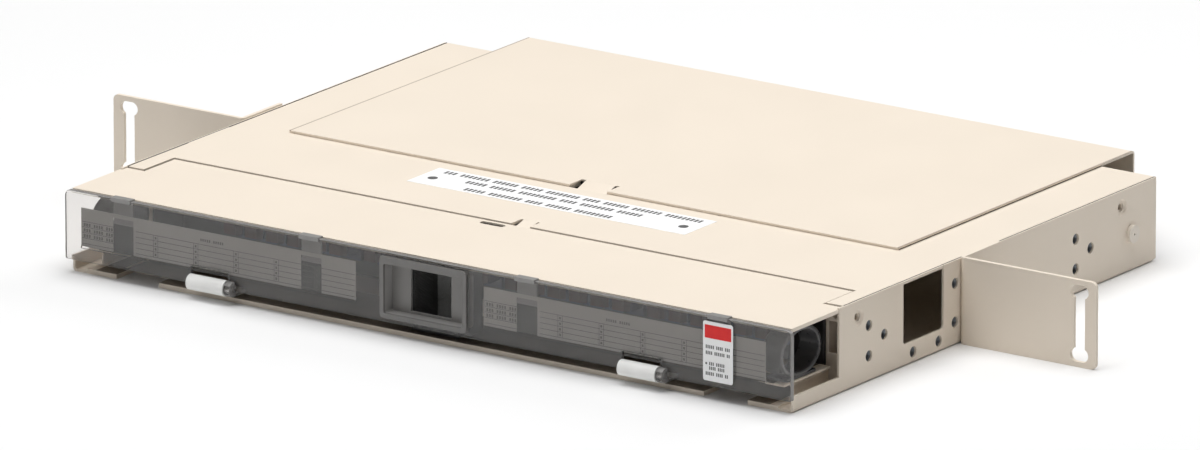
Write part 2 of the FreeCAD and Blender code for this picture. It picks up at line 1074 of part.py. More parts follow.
def adapter(x):
    """One adapter: a block through the bulkhead, a collar on its front and a socket in each end."""
    front = bulkhead_place - adapter_front
    back = bulkhead_place + sheet + adapter_back
    block = box(
        x - adapter_width / 2,
        x + adapter_width / 2,
        front,
        back,
        adapter_height - adapter_tall / 2,
        adapter_height + adapter_tall / 2,
    )
    collar = box(
        x - collar_width / 2,
        x + collar_width / 2,
        bulkhead_place - collar_thickness,
        bulkhead_place,
        adapter_height - collar_tall / 2,
        adapter_height + collar_tall / 2,
    )
    cuts = []
    for y0, y1 in ((front - past, front + socket_depth), (back - socket_depth, back + past)):
        cuts.append(
            box(
                x - socket_width / 2,
                x + socket_width / 2,
                y0,
                y1,
                adapter_height - socket_tall / 2,
                adapter_height + socket_tall / 2,
            )
        )
    return joined(block, [collar]).cut(cuts)


def adapter_pack(index):
    return Part.makeCompound([adapter(x) for x in adapter_places()[index]])


def dust_cap(x, face, outward):
    """A cap that plugs one end of an adapter, with a tapered grip."""
    plug_end = face - outward * cap_plug
    head_end = face + outward * cap_length
    plug = box(
        x - socket_width / 2 + adapter_slip,
        x + socket_width / 2 - adapter_slip,
        min(face, plug_end),
        max(face, plug_end),
        adapter_height - socket_tall / 2 + adapter_slip,
        adapter_height + socket_tall / 2 - adapter_slip,
    )
    wide = adapter_width / 2 - cap_margin
    tall = adapter_tall / 2 - cap_margin
    rings = []
    for y, inset in ((face, 0), (head_end, cap_taper)):
        signs = ((-1, -1), (1, -1), (1, 1), (-1, 1), (-1, -1))
        corners = [V(x + i * (wide - inset), y, adapter_height + j * (tall - inset)) for i, j in signs]
        rings.append(Part.makePolygon(corners))
    head = Part.makeLoft(rings, True, True)
    return joined(plug, [head])


def dust_caps(face, outward):
    return Part.makeCompound([dust_cap(x, face, outward) for pack in adapter_places() for x in pack])


def oval(long, tall, x0, x1):
    """A bar with an oval section, along x, at the right ring's middle."""
    curve = Part.Ellipse(V(0, 0, 0), long / 2, tall / 2)
    bar = Part.Face(Part.Wire([curve.toShape()])).extrude(V(0, 0, x1 - x0))
    bar.rotate(V(0, 0, 0), V(1, 1, 1), 120)
    bar.translate(V(x0, ring_place, ring_height))
    return bar


def cable_ring():
    """The right cable ring: an oval band with round rims, on a foot."""
    x0 = ring_x - ring_width / 2
    x1 = ring_x + ring_width / 2
    bore = oval(ring_long - 2 * ring_wall, ring_tall - 2 * ring_wall, x0 - past, x1 + past)
    band = oval(ring_long, ring_tall, x0, x1).cut(bore)
    for side in (x0, x1):
        band = rounded(band, ring_rim, x=side)
    foot = rounded_box(
        ring_x - ring_foot_width / 2,
        ring_x + ring_foot_width / 2,
        ring_place - ring_foot_length / 2,
        ring_place + ring_foot_length / 2,
        ring_seat,
        ring_seat + ring_foot_height,
        ring_foot_height,
        "z",
    )
    neck = box(
        ring_x - ring_neck_width / 2,
        ring_x + ring_neck_width / 2,
        ring_place - ring_neck_length / 2,
        ring_place + ring_neck_length / 2,
        ring_seat,
        ring_height - ring_tall / 2 + ring_wall / 2,
    )
    posts = snap_posts("ring", channel_top - sheet, ring_seat + ring_foot_height)
    return joined(band, [foot, neck] + posts)


def ring_plate():
    """The right ring plate: a flat sheet under the ring's foot."""
    plate = box(
        ring_x - ring_plate_width / 2,
        ring_x + ring_plate_width / 2,
        ring_plate_start,
        ring_plate_end,
        channel_top,
        ring_seat,
    )
    return plate.cut(snap_holes(("ring",), ring_seat))


def ring_channel():
    """The right ring channel: a foot on the floor, a wall and a flange under the ring plate."""
    y0 = hem_depth + slip
    outer = ring_x + channel_reach
    inner = outer - channel_width

    def lengthwise(x, z):
        return V(x, y0, z)

    path = [(inner, sheet), (outer, sheet), (outer, channel_top), (inner, channel_top)]
    channel = folded(path, sheet, lengthwise, V(0, ring_plate_end - y0, 0))
    return channel.cut(snap_holes(("ring",), ring_seat))


def slack_spool():
    """The right slack spool: a hollow hub and fingers that keep the turns in."""
    hub = spool_hub / 2
    top = sheet + spool_height
    wall = rod_z(spool_hub, sheet, top, spool_place_x, spool_place_y)
    wall = wall.cut(rod_z(spool_hub - 2 * spool_wall, 0, top + past, spool_place_x, spool_place_y))
    fingers = []
    for index in range(spool_fingers):
        finger = box(
            spool_place_x + hub - spool_wall,
            spool_place_x + hub + spool_finger_reach,
            spool_place_y - spool_finger_width / 2,
            spool_place_y + spool_finger_width / 2,
            top - spool_finger_thickness,
            top,
        )
        angle = 360 * (index + 0.5) / spool_fingers
        finger.rotate(V(spool_place_x, spool_place_y, 0), V(0, 0, 1), angle)
        fingers.append(finger)
    return joined(wall, fingers + snap_posts("spool", 0, sheet + snap_width))


def tie_bracket():
    """The right tie bracket: a bridge on two feet, with slots for cable ties."""
    y0 = wall_length + tie_setback

    def lengthwise(x, z):
        return V(tie_place_x + x, y0, z)

    bridge = tie_bridge / 2
    path = [
        (-bridge - tie_foot, sheet),
        (-bridge, sheet),
        (-bridge, sheet + tie_rise),
        (bridge, sheet + tie_rise),
        (bridge, sheet),
        (bridge + tie_foot, sheet),
    ]
    bracket = folded(path, sheet, lengthwise, V(0, tie_width, 0))
    cuts = []
    for side in (-1, 1):
        y = y0 + tie_width / 2 + side * tie_slot_spacing / 2
        slot_x = tie_slot_length / 2
        slot_y = tie_slot_width / 2
        cuts.append(
            box(
                tie_place_x - slot_x,
                tie_place_x + slot_x,
                y - slot_y,
                y + slot_y,
                tie_rise,
                tie_rise + past,
            )
        )
    return bracket.cut(cuts)


def top_label():
    y0 = strip_start + label_setback
    return box(
        label_middle - label_width / 2,
        label_middle + label_width / 2,
        y0,
        y0 + label_depth,
        wall_height,
        wall_height + label_thickness,
    )


def door_sticker():
    return rounded_box(
        sticker_middle - sticker_width / 2,
        sticker_middle + sticker_width / 2,
        door_front - label_thickness,
        door_front,
        sticker_bottom,
        sticker_top,
        sticker_corner,
        "y",
    )


def save(name, shape):
    placed = shape.copy()
    placed.translate(V(0, -middle_y, 0))
    placed.exportStep(f"parts/{name}.step")


def save_pair(name, right):
    save(f"{name}_right", right)
    save(f"{name}_left", mirrored(right))


def save_twins(name, right):
    save(name, Part.makeCompound([right, mirrored(right)]))


def main():
    os.makedirs("parts", exist_ok=True)
    cap_front = bulkhead_place - adapter_front
    cap_back = bulkhead_place + sheet + adapter_back
    save("chassis_base", chassis_base())
    save("top_plate", top_plate())
    save("front_cover", front_cover())
    save("rear_cover", rear_cover())
    save_pair("ear_bracket", ear_bracket())
    save("ear_screws", ear_screws())
    save_pair("wall_inserts", wall_inserts())
    save_twins("wall_plugs", wall_plug())
    save("front_door", front_door())
    save_pair("hinge_barrel", hinge_barrel())
    save("hinge_pin_left", hinge_pin(-hinge_place))
    save("hinge_pin_right", hinge_pin(hinge_place))
    save("designation_card_left", designation_card(card_left_start))
    save("designation_card_right", designation_card(card_right_start))
    save("card_clips", card_clips())
    save("door_sticker", door_sticker())
    save("door_catch", door_catch())
    save("adapter_bulkhead", adapter_bulkhead())
    save_pair("wing_plate", wing_plate())
    for index in range(pack_count):
        save(f"adapter_pack_{index + 1}", adapter_pack(index))
    save("front_dust_caps", dust_caps(cap_front, -1))
    save("rear_dust_caps", dust_caps(cap_back, 1))
    save_twins("cable_rings", cable_ring())
    save_pair("ring_plate", ring_plate())
    save_pair("ring_channel", ring_channel())
    save_twins("slack_spools", slack_spool())
    save_pair("tie_bracket", tie_bracket())
    save("top_label", top_label())


main()
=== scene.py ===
import math
from typing import NamedTuple

import bpy
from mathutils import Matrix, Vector


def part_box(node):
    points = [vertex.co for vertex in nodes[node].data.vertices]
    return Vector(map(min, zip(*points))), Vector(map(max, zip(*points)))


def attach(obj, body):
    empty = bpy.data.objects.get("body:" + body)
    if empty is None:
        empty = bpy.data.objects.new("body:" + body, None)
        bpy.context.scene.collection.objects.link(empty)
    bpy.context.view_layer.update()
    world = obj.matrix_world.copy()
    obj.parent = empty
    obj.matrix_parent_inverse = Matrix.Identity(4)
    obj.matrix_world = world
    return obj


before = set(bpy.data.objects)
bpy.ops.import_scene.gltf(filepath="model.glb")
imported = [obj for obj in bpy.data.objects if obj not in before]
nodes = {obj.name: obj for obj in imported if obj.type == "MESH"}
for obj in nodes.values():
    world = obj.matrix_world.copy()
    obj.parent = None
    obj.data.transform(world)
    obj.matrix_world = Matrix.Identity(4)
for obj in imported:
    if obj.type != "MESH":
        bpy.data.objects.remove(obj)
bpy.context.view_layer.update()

MM = 0.001
X = Vector((1, 0, 0))
Y = Vector((0, 1, 0))
Z = Vector((0, 0, 1))

# Camera, from the photograph's viewing angle
VIEW_AZIMUTH = math.radians(34.76)
VIEW_ELEVATION = math.radians(16.25)
VIEW_TARGET = Vector((-5.0, -15.6, 21.3)) * MM
VIEW_DISTANCE = 10.0
VIEW_WIDTH = 0.5888
VIEW_END = 100.0
SENSOR_WIDTH = 36.0

# Square studio lights that aim at the origin: place and side in metres, power in watts
LIGHTS = (
    ("overhead", (-0.1, -0.1, 2.6), 2.4, 86.0),
    ("front_fill", (-0.6, -2.0, 2.2), 1.6, 11.0),
    ("rear_rim", (0.8, 2.3, 1.6), 1.6, 18.0),
)
WORLD_COLOUR = (1.0, 1.0, 1.0)
WORLD_STRENGTH = 0.06
FLOOR_REACH = 8.0


class Finish(NamedTuple):
    """Two close colours in soft patches, a roughness and a fine grain. Sizes are in millimetres."""

    first: tuple
    second: tuple
    roughness: float
    patch: float
    grain: float
    height: float


FINISHES = {
    "cream_paint": Finish((0.802, 0.714, 0.606), (0.812, 0.724, 0.616), 0.48, 80.0, 0.9, 0.02),
    "panel_paint": Finish((0.060, 0.058, 0.055), (0.070, 0.067, 0.064), 0.55, 50.0, 0.9, 0.02),
    "white_plastic": Finish((0.84, 0.84, 0.82), (0.90, 0.90, 0.88), 0.35, 10.0, 0.6, 0.01),
    "black_plastic": Finish((0.012, 0.012, 0.012), (0.022, 0.021, 0.020), 0.42, 10.0, 0.5, 0.03),
    "ring_plastic": Finish((0.075, 0.075, 0.078), (0.090, 0.090, 0.093), 0.30, 10.0, 0.5, 0.02),
    "clip_plastic": Finish((0.27, 0.262, 0.255), (0.30, 0.292, 0.285), 0.35, 6.0, 0.5, 0.01),
    "tail_plastic": Finish((0.018, 0.018, 0.017), (0.024, 0.023, 0.022), 0.4, 6.0, 0.5, 0.01),
    "grey_plastic": Finish((0.76, 0.69, 0.60), (0.80, 0.73, 0.64), 0.45, 6.0, 0.5, 0.02),
    "adapter_blue": Finish((0.012, 0.035, 0.12), (0.016, 0.045, 0.15), 0.4, 8.0, 0.5, 0.02),
    "cap_red": Finish((0.085, 0.012, 0.010), (0.105, 0.015, 0.013), 0.6, 6.0, 0.4, 0.03),
    "card_paper": Finish((0.50, 0.485, 0.465), (0.54, 0.525, 0.505), 0.8, 20.0, 0.3, 0.02),
    "label_paper": Finish((0.90, 0.90, 0.90), (0.94, 0.94, 0.94), 0.5, 20.0, 0.4, 0.01),
    "print_ink": Finish((0.10, 0.10, 0.10), (0.13, 0.13, 0.13), 0.6, 4.0, 0.3, 0.01),
    "card_ink": Finish((0.12, 0.115, 0.11), (0.15, 0.145, 0.14), 0.8, 4.0, 0.3, 0.01),
    "band_ink": Finish((0.74, 0.008, 0.008), (0.78, 0.012, 0.010), 0.5, 4.0, 0.3, 0.01),
    "zinc_steel": Finish((0.66, 0.66, 0.66), (0.74, 0.74, 0.74), 0.48, 4.0, 0.4, 0.03),
    "thread_steel": Finish((0.20, 0.22, 0.24), (0.26, 0.28, 0.30), 0.42, 4.0, 0.4, 0.03),
    "pale_floor": Finish((0.83, 0.83, 0.83), (0.835, 0.835, 0.835), 0.9, 500.0, 20.0, 0.01),
}

# Which nodes wear which finish
PAINTED = (
    "chassis_base",
    "top_plate",
    "front_cover",
    "rear_cover",
    "ear_bracket_left",
    "ear_bracket_right",
    "wing_plate_left",
    "wing_plate_right",
    "ring_plate_left",
    "ring_plate_right",
    "ring_channel_left",
    "ring_channel_right",
    "tie_bracket_left",
    "tie_bracket_right",
)
SHEETS = PAINTED + ("adapter_bulkhead",)
ZINC = ("ear_screws", "hinge_pin_left", "hinge_pin_right")
INSERTS = ("wall_inserts_left", "wall_inserts_right")
CARDS = ("designation_card_left", "designation_card_right")
PLAIN = {
    "panel_paint": ("adapter_bulkhead",),
    "white_plastic": ("hinge_barrel_left", "hinge_barrel_right"),
    "black_plastic": ("slack_spools",),
    "ring_plastic": ("cable_rings",),
    "clip_plastic": ("card_clips",),
    "grey_plastic": ("wall_plugs",),
    "adapter_blue": ("adapter_pack_1", "adapter_pack_2", "adapter_pack_3", "adapter_pack_4"),
    "cap_red": ("front_dust_caps", "rear_dust_caps"),
    "card_paper": CARDS,
    "label_paper": ("top_label", "door_sticker"),
}


# Material building blocks

# The middle of a noise, which takes up the whole run from one colour or number to the other
NOISE_LOW = 0.3
NOISE_HIGH = 0.7
PATCH_DETAIL = 3.0
GRAIN_DETAIL = 4.0

# The gloss changes in patches this many times smaller than the colour's, and by this much each way
GLOSS_PATCHES = 3
GLOSS_SPREAD = 0.04

# A face looks one way where its normal has more than this share of that direction
FACING = 0.5


def new_material(name):
    made = bpy.data.materials.new(name)
    made.use_nodes = True
    return made


def shader_of(made):
    return made.node_tree.nodes["Principled BSDF"]


def add_node(tree, kind, **values):
    node = tree.nodes.new(kind)
    for name, value in values.items():
        node.inputs[name].default_value = value
    return node


def noise(tree, size, detail=PATCH_DETAIL):
    """Noise whose patches are about one size across, in metres, fixed to the piece."""
    place = tree.nodes.new("ShaderNodeTexCoord")
    made = add_node(tree, "ShaderNodeTexNoise", Scale=1 / size, Detail=detail)
    tree.links.new(place.outputs["Object"], made.inputs["Vector"])
    return made.outputs["Fac"]


def spread(tree, source, low, high):
    """A number that runs from low to high over the middle of a noise."""
    made = add_node(tree, "ShaderNodeMapRange")
    made.inputs["From Min"].default_value = NOISE_LOW
    made.inputs["From Max"].default_value = NOISE_HIGH
    made.inputs["To Min"].default_value = low
    made.inputs["To Max"].default_value = high
    tree.links.new(source, made.inputs["Value"])
    return made.outputs["Result"]


def blend_colours(tree, source, first, second):
    """A colour that runs from first to second over the middle of a noise."""
    made = tree.nodes.new("ShaderNodeValToRGB")
    low, high = made.color_ramp.elements
    low.position = NOISE_LOW
    high.position = NOISE_HIGH
    low.color = (*first, 1)
    high.color = (*second, 1)
    tree.links.new(source, made.inputs["Fac"])
    return made.outputs["Color"]


def bump(made, source, height):
    tree = made.node_tree
    relief = add_node(tree, "ShaderNodeBump", Strength=1.0, Distance=height)
    tree.links.new(source, relief.inputs["Height"])
    tree.links.new(relief.outputs["Normal"], shader_of(made).inputs["Normal"])


def patched(name, first, second, roughness, patch, gloss_spread=GLOSS_SPREAD):
    """A material with two close colours in soft patches and an uneven gloss."""
    made = new_material(name)
    tree = made.node_tree
    colour = blend_colours(tree, noise(tree, patch), first, second)
    gloss_patches = noise(tree, patch / GLOSS_PATCHES)
    gloss = spread(tree, gloss_patches, roughness - gloss_spread, roughness + gloss_spread)
    tree.links.new(colour, shader_of(made).inputs["Base Color"])
    tree.links.new(gloss, shader_of(made).inputs["Roughness"])
    return made


def textured(name):
    """The material of a finish: patched, with a fine grain."""
    finish = FINISHES[name]
    made = patched(name, finish.first, finish.second, finish.roughness, finish.patch * MM)
    bump(made, noise(made.node_tree, finish.grain * MM, GRAIN_DETAIL), finish.height * MM)
    return made


def metal(name):
    made = textured(name)
    shader_of(made).inputs["Metallic"].default_value = 1.0
    return made


def maths(tree, operation, *sources):
    """One step of arithmetic on numbers and node outputs."""
    made = tree.nodes.new("ShaderNodeMath")
    made.operation = operation
    for socket, source in zip(made.inputs, sources):
        if isinstance(source, (int, float)):
            socket.default_value = source
        else:
            tree.links.new(source, socket)
    return made.outputs["Value"]


def product(tree, first, *others):
    """Numbers multiplied together, such as masks that all have to hold."""
    for other in others:
        first = maths(tree, "MULTIPLY", first, other)
    return first


def between(tree, source, low, high):
    """1 where a number lies between two levels, and 0 elsewhere."""
    return maths(tree, "COMPARE", source, (low + high) / 2, (high - low) / 2)


def coordinates(tree, kind):
    """The x, y and z of a point's place on its piece ("Object") or of the way it looks ("Normal")."""
    source = tree.nodes.new("ShaderNodeTexCoord")
    split = tree.nodes.new("ShaderNodeSeparateXYZ")
    tree.links.new(source.outputs[kind], split.inputs["Vector"])
    return split.outputs


def closeness(tree, reach):
    """How far other surfaces within reach close a point in: 0 in the open, 1 where it is shut in."""
    openness = add_node(tree, "ShaderNodeAmbientOcclusion", Distance=reach)
    return maths(tree, "SUBTRACT", 1.0, openness.outputs["AO"])


def tint(made, share, patch, first, second):
    """Mix two close colours, in soft patches, into a material's colour by a share."""
    tree = made.node_tree
    colour = shader_of(made).inputs["Base Color"]
    blend = tree.nodes.new("ShaderNodeMix")
    blend.data_type = "RGBA"
    tree.links.new(share, blend.inputs["Factor"])
    tree.links.new(colour.links[0].from_socket, blend.inputs["A"])
    tree.links.new(blend_colours(tree, noise(tree, patch), first, second), blend.inputs["B"])
    tree.links.new(blend.outputs["Result"], colour)


def mix_number(made, name, share, there):
    """Change a shader's number to another one by a share."""
    tree = made.node_tree
    number = shader_of(made).inputs[name]
    blend = tree.nodes.new("ShaderNodeMix")
    tree.links.new(share, blend.inputs["Factor"])
    if number.is_linked:
        tree.links.new(number.links[0].from_socket, blend.inputs["A"])
    else:
        blend.inputs["A"].default_value = number.default_value
    blend.inputs["B"].default_value = there
    tree.links.new(blend.outputs["Result"], number)


def wear(made, *names):
    for name in names:
        piece = nodes[name]
        piece.data.materials.clear()
        piece.data.materials.append(made)


# Cream paint, with painted shade in its hollows, along its seams and in lines at the rear cover's and the
# walls' edges

PAINT_SPECULAR = 0.25
# The size of the soft patches in the painted shade
SHADE_PATCH = 4.0 * MM

# Painted shade on the lips' tops and the floor, in front of the adapters, where the door and covers close
# them in
HOLLOW_REACH = 60.0 * MM
HOLLOW_HALF_WIDTH = 200.0 * MM
HOLLOW_SHADE = ((0.085, 0.062, 0.042), (0.110, 0.084, 0.060))

# Painted shade in the seams beside the rear cover, below the unshaded upper part of its edge
SEAM_REACH = 3.0 * MM
SEAM_WIDTH = 3.0 * MM
SEAM_DEPTH = 3.0 * MM
SEAM_UNSHADED_EDGE = 0.7 * MM
SEAM_GAIN = 2.5
SEAM_SHADE = ((0.030, 0.028, 0.025), (0.050, 0.046, 0.042))

# Painted shade in a line on the rear cover's side edges, standing for the shade of the gap beside them
COVER_LINE_WIDTH = 1.0 * MM
COVER_LINE_DEPTH = 0.3 * MM
COVER_LINE_SHADE = ((0.43, 0.365, 0.295), (0.46, 0.390, 0.320))

# Painted shade in a line on the walls' inner top edges, standing for the shade of the seam beside the top
# plate
WALL_SHEET = 1.2 * MM
WALL_LINE_INSIDE = 0.05 * MM
WALL_LINE_WIDTH = 0.6 * MM
WALL_LINE_DEPTH = 1.0 * MM
WALL_LINE_SHADE = ((0.050, 0.045, 0.038), (0.065, 0.058, 0.050))


def shade_hollows(made):
    """Painted shade on faces that look up, as deep as other surfaces close them in."""
    tree = made.node_tree
    place = coordinates(tree, "Object")
    facing = coordinates(tree, "Normal")
    upward = maths(tree, "GREATER_THAN", facing["Z"], FACING)
    across = maths(tree, "LESS_THAN", maths(tree, "ABSOLUTE", place["X"]), HOLLOW_HALF_WIDTH)
    before = maths(tree, "LESS_THAN", place["Y"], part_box("adapter_bulkhead")[0].y)
    share = product(tree, closeness(tree, HOLLOW_REACH), upward, across, before)
    tint(made, share, SHADE_PATCH, *HOLLOW_SHADE)


def shade_cover_seams(made):
    """Painted shade on faces beside the rear cover that look sideways, where other surfaces close them in.
    """
    low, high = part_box("rear_cover")
    tree = made.node_tree
    place = coordinates(tree, "Object")
    facing = coordinates(tree, "Normal")
    sideways = maths(tree, "GREATER_THAN", maths(tree, "ABSOLUTE", facing["X"]), FACING)
    across = maths(tree, "LESS_THAN", maths(tree, "ABSOLUTE", place["X"]), high.x + SEAM_WIDTH)
    upward = between(tree, place["Z"], high.z - SEAM_DEPTH, high.z - SEAM_UNSHADED_EDGE)
    behind = maths(tree, "GREATER_THAN", place["Y"], low.y)
    deep = maths(tree, "MULTIPLY", closeness(tree, SEAM_REACH), SEAM_GAIN)
    share = product(tree, maths(tree, "MINIMUM", deep, 1.0), sideways, across, upward, behind)
    tint(made, share, SHADE_PATCH, *SEAM_SHADE)


def shade_line(made, inner, outer, bottom, front, dust):
    """A line of painted shade along both sides: between two distances from the middle, above a height."""
    tree = made.node_tree
    place = coordinates(tree, "Object")
    across = between(tree, maths(tree, "ABSOLUTE", place["X"]), inner, outer)
    above = maths(tree, "GREATER_THAN", place["Z"], bottom)
    behind = maths(tree, "GREATER_THAN", place["Y"], front)
    tint(made, product(tree, across, above, behind), SHADE_PATCH, *dust)


def cream_paint():
    made = textured("cream_paint")
    shader_of(made).inputs["Specular IOR Level"].default_value = PAINT_SPECULAR
    # painted shade on the lips' tops and the floor in front of the adapters
    shade_hollows(made)
    # painted shade in the seams beside the rear cover
    shade_cover_seams(made)
    # painted shade in a line on the rear cover's side edges
    low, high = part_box("rear_cover")
    shade_line(made, high.x - COVER_LINE_WIDTH, high.x, high.z - COVER_LINE_DEPTH, low.y, COVER_LINE_SHADE)
    # painted shade in a line on the walls' inner top edges
    low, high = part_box("top_plate")
    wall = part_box("chassis_base")[1].x - WALL_SHEET
    inner = wall - WALL_LINE_INSIDE
    outer = wall + WALL_LINE_WIDTH
    shade_line(made, inner, outer, high.z - WALL_LINE_DEPTH, low.y, WALL_LINE_SHADE)
    return made


# Woven plastic of the catch, with painted light on its back

WOVEN_COLOURS = ((0.100, 0.098, 0.095), (0.125, 0.122, 0.118))
WOVEN_ROUGHNESS = 0.38
WOVEN_PATCH = 10.0 * MM
WEAVE_PITCH = 1.6 * MM
WEAVE_HEIGHT = 0.2 * MM
# Painted light on the catch's back faces, which lie in the pocket's shade
CATCH_BACK_LIGHT = ((0.40, 0.40, 0.39), (0.45, 0.45, 0.44))


def weave(made):
    """Crossed ribs pressed into a surface."""
    tree = made.node_tree
    place = coordinates(tree, "Object")
    along = maths(tree, "ADD", place["X"], place["Y"])
    ribs = []
    for direction in ("ADD", "SUBTRACT"):
        slanted = maths(tree, direction, along, place["Z"])
        ribs.append(maths(tree, "SINE", maths(tree, "MULTIPLY", slanted, 2 * math.pi / WEAVE_PITCH)))
    bump(made, product(tree, *ribs), WEAVE_HEIGHT)


def paint_light_on_back(made, front):
    """Painted light: a lighter colour on the faces behind a place that look to the front."""
    tree = made.node_tree
    behind = maths(tree, "GREATER_THAN", coordinates(tree, "Object")["Y"], front)
    forward = maths(tree, "LESS_THAN", coordinates(tree, "Normal")["Y"], -FACING)
    tint(made, product(tree, behind, forward), WOVEN_PATCH, *CATCH_BACK_LIGHT)


def woven_plastic():
    made = patched("woven_plastic", *WOVEN_COLOURS, WOVEN_ROUGHNESS, WOVEN_PATCH)
    weave(made)
    # painted light on the catch's back faces
    low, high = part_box("door_catch")
    paint_light_on_back(made, (low.y + high.y) / 2)
    return made


# Clear plastic of the door, with a milky finger pocket and milky edges, and painted light on the pocket's
# walls

CLEAR_COLOURS = ((0.80, 0.78, 0.76), (0.83, 0.81, 0.79))
CLEAR_ROUGHNESS = 0.035
CLEAR_GLOSS_SPREAD = 0.015
CLEAR_PATCH = 60.0 * MM
CLEAR_TRANSMISSION = 0.985
CLEAR_IOR = 1.49
RIPPLE_SIZE = 12.0 * MM
RIPPLE_DETAIL = 1.0
RIPPLE_HEIGHT = 0.01 * MM

# The pocket's frame, and the depth from which its panel is lighter and its walls carry painted light
POCKET_HALF_WIDTH = 25.8 * MM
POCKET_BOTTOM = 9.1 * MM
POCKET_TOP = 40.5 * MM
POCKET_PANEL_FRONT = -172.2 * MM
EDGE_FACING = 0.8
EDGE_MILK = 0.7
MILK_PATCH = 10.0 * MM
MILK_TRANSMISSION = 0.12
MILK_ROUGHNESS = 0.35
MILK = ((0.19, 0.183, 0.176), (0.21, 0.203, 0.196))
PANEL_MILK = ((0.26, 0.250, 0.240), (0.28, 0.270, 0.260))
# Painted light on the pocket's walls, which lie in shade
WALL_PAINTED_LIGHT = ((0.42, 0.410, 0.400), (0.45, 0.440, 0.430))


def frost(made):
    """A milky pocket, lighter on its panel and most on its walls, where the lighter colour is painted light
    that lifts them out of their shade, and milky edges all round.
    """
    tree = made.node_tree
    place = coordinates(tree, "Object")
    facing = coordinates(tree, "Normal")
    across = maths(tree, "LESS_THAN", maths(tree, "ABSOLUTE", place["X"]), POCKET_HALF_WIDTH)
    upward = between(tree, place["Z"], POCKET_BOTTOM, POCKET_TOP)
    behind = maths(tree, "GREATER_THAN", place["Y"], POCKET_PANEL_FRONT)
    edge = maths(tree, "LESS_THAN", maths(tree, "ABSOLUTE", facing["Y"]), EDGE_FACING)
    pocket = product(tree, across, upward)
    panel = product(tree, pocket, behind)
    walls = product(tree, panel, edge)
    milky = maths(tree, "MAXIMUM", pocket, product(tree, edge, EDGE_MILK))
    # the walls' colour is painted light
    for share, colours in ((milky, MILK), (panel, PANEL_MILK), (walls, WALL_PAINTED_LIGHT)):
        tint(made, share, MILK_PATCH, *colours)
    mix_number(made, "Roughness", milky, MILK_ROUGHNESS)
    mix_number(made, "Transmission Weight", milky, MILK_TRANSMISSION)


def clear_plastic():
    made = patched("clear_door", *CLEAR_COLOURS, CLEAR_ROUGHNESS, CLEAR_PATCH, CLEAR_GLOSS_SPREAD)
    shader_of(made).inputs["Transmission Weight"].default_value = CLEAR_TRANSMISSION
    shader_of(made).inputs["IOR"].default_value = CLEAR_IOR
    bump(made, noise(made.node_tree, RIPPLE_SIZE, RIPPLE_DETAIL), RIPPLE_HEIGHT)
    frost(made)
    return made


# Dressing the CAD nodes

thread_steel = metal("thread_steel")
wear(cream_paint(), *PAINTED)
wear(woven_plastic(), "door_catch")
wear(clear_plastic(), "front_door")
wear(metal("zinc_steel"), *ZINC)
wear(thread_steel, *INSERTS)
for finish_name, wearers in PLAIN.items():
    wear(textured(finish_name), *wearers)


# Broken edges on the sheet metal and the door, so that they catch the light

EDGE_WIDTH = 0.4 * MM
EDGE_SEGMENTS = 3
EDGE_ANGLE = math.radians(40)
WELD_REACH = 0.002 * MM
FLAT_ANGLE = math.radians(1)


def break_edges(name):
    piece = nodes[name]
    weld = piece.modifiers.new("weld", "WELD")
    weld.merge_threshold = WELD_REACH
    flat = piece.modifiers.new("flat", "DECIMATE")
    flat.decimate_type = "DISSOLVE"
    flat.angle_limit = FLAT_ANGLE
    edge = piece.modifiers.new("edge", "BEVEL")
    edge.width = EDGE_WIDTH
    edge.segments = EDGE_SEGMENTS
    edge.limit_method = "ANGLE"
    edge.angle_limit = EDGE_ANGLE


for sheet_name in SHEETS + ("front_door",):
    break_edges(sheet_name)


# Added pieces


def new_piece(name, points, faces, material):
    mesh = bpy.data.meshes.new(name)
    mesh.from_pydata(points, [], faces)
    mesh.materials.append(material)
    made = bpy.data.objects.new(name, mesh)
    bpy.context.scene.collection.objects.link(made)
    return made


# Flat shapes, in millimetres from a corner


def rectangle(left, bottom, width, height):
    right = left + width
    top = bottom + height
    return [(left, bottom), (right, bottom), (right, top), (left, top)]


def dot(across, up, radius, sides=24):
    turns = [2 * math.pi * side / sides for side in range(sides)]
    return [(across + radius * math.cos(turn), up + radius * math.sin(turn)) for turn in turns]


def block_row(left, bottom, groups, pitch, width, height):
    """Blocks in a row, in groups of the given counts with one block left out between them."""
    made = []
    for count in groups:
        made += [rectangle(left + place * pitch, bottom, width, height) for place in range(count)]
        left += (count + 1) * pitch
    return made


def rounded_tab(left, bottom, width, height, radius, steps=6):
    """A rectangle whose two lower corners are round."""
    made = [(left + width, bottom + height), (left, bottom + height)]
    for across, start in ((left + radius, math.pi), (left + width - radius, 1.5 * math.pi)):
        for step in range(steps + 1):
            turn = start + step / steps * math.pi / 2
            made.append((across + radius * math.cos(turn), bottom + radius + radius * math.sin(turn)))
    return made


# Print on the label, the sticker and the cards: rules, dots and rows of small blocks, in millimetres

FILM = 0.03

# Each row's left end, bottom and groups, then the blocks' pitch, width and height
LABEL_ROWS = (
    (7.0, 21.0, (3, 7, 6, 5, 8, 4, 6, 7, 9)),
    (25.6, 12.8, (5, 6, 9, 4, 8, 6)),
    (32.0, 2.2, (5, 8, 4, 6, 9)),
)
LABEL_BLOCKS = (2.44, 1.6, 4.2)
LABEL_DOTS = (7.6, 157.0)
LABEL_DOT_HEIGHT = 11.4
LABEL_DOT_RADIUS = 2.6

STICKER_BAND = rectangle(1.0, 21.4, 15.4, 6.6)
STICKER_ROWS = (
    (1.6, 16.2, (5, 4, 3)),
    (1.6, 13.2, (4, 6, 2)),
    (3.6, 7.8, (3, 5)),
    (3.6, 5.6, (4, 4)),
    (1.6, 2.8, (5, 4, 2)),
)
STICKER_BLOCKS = (1.02, 0.66, 1.7)
STICKER_DOT = dot(1.9, 8.6, 0.6)

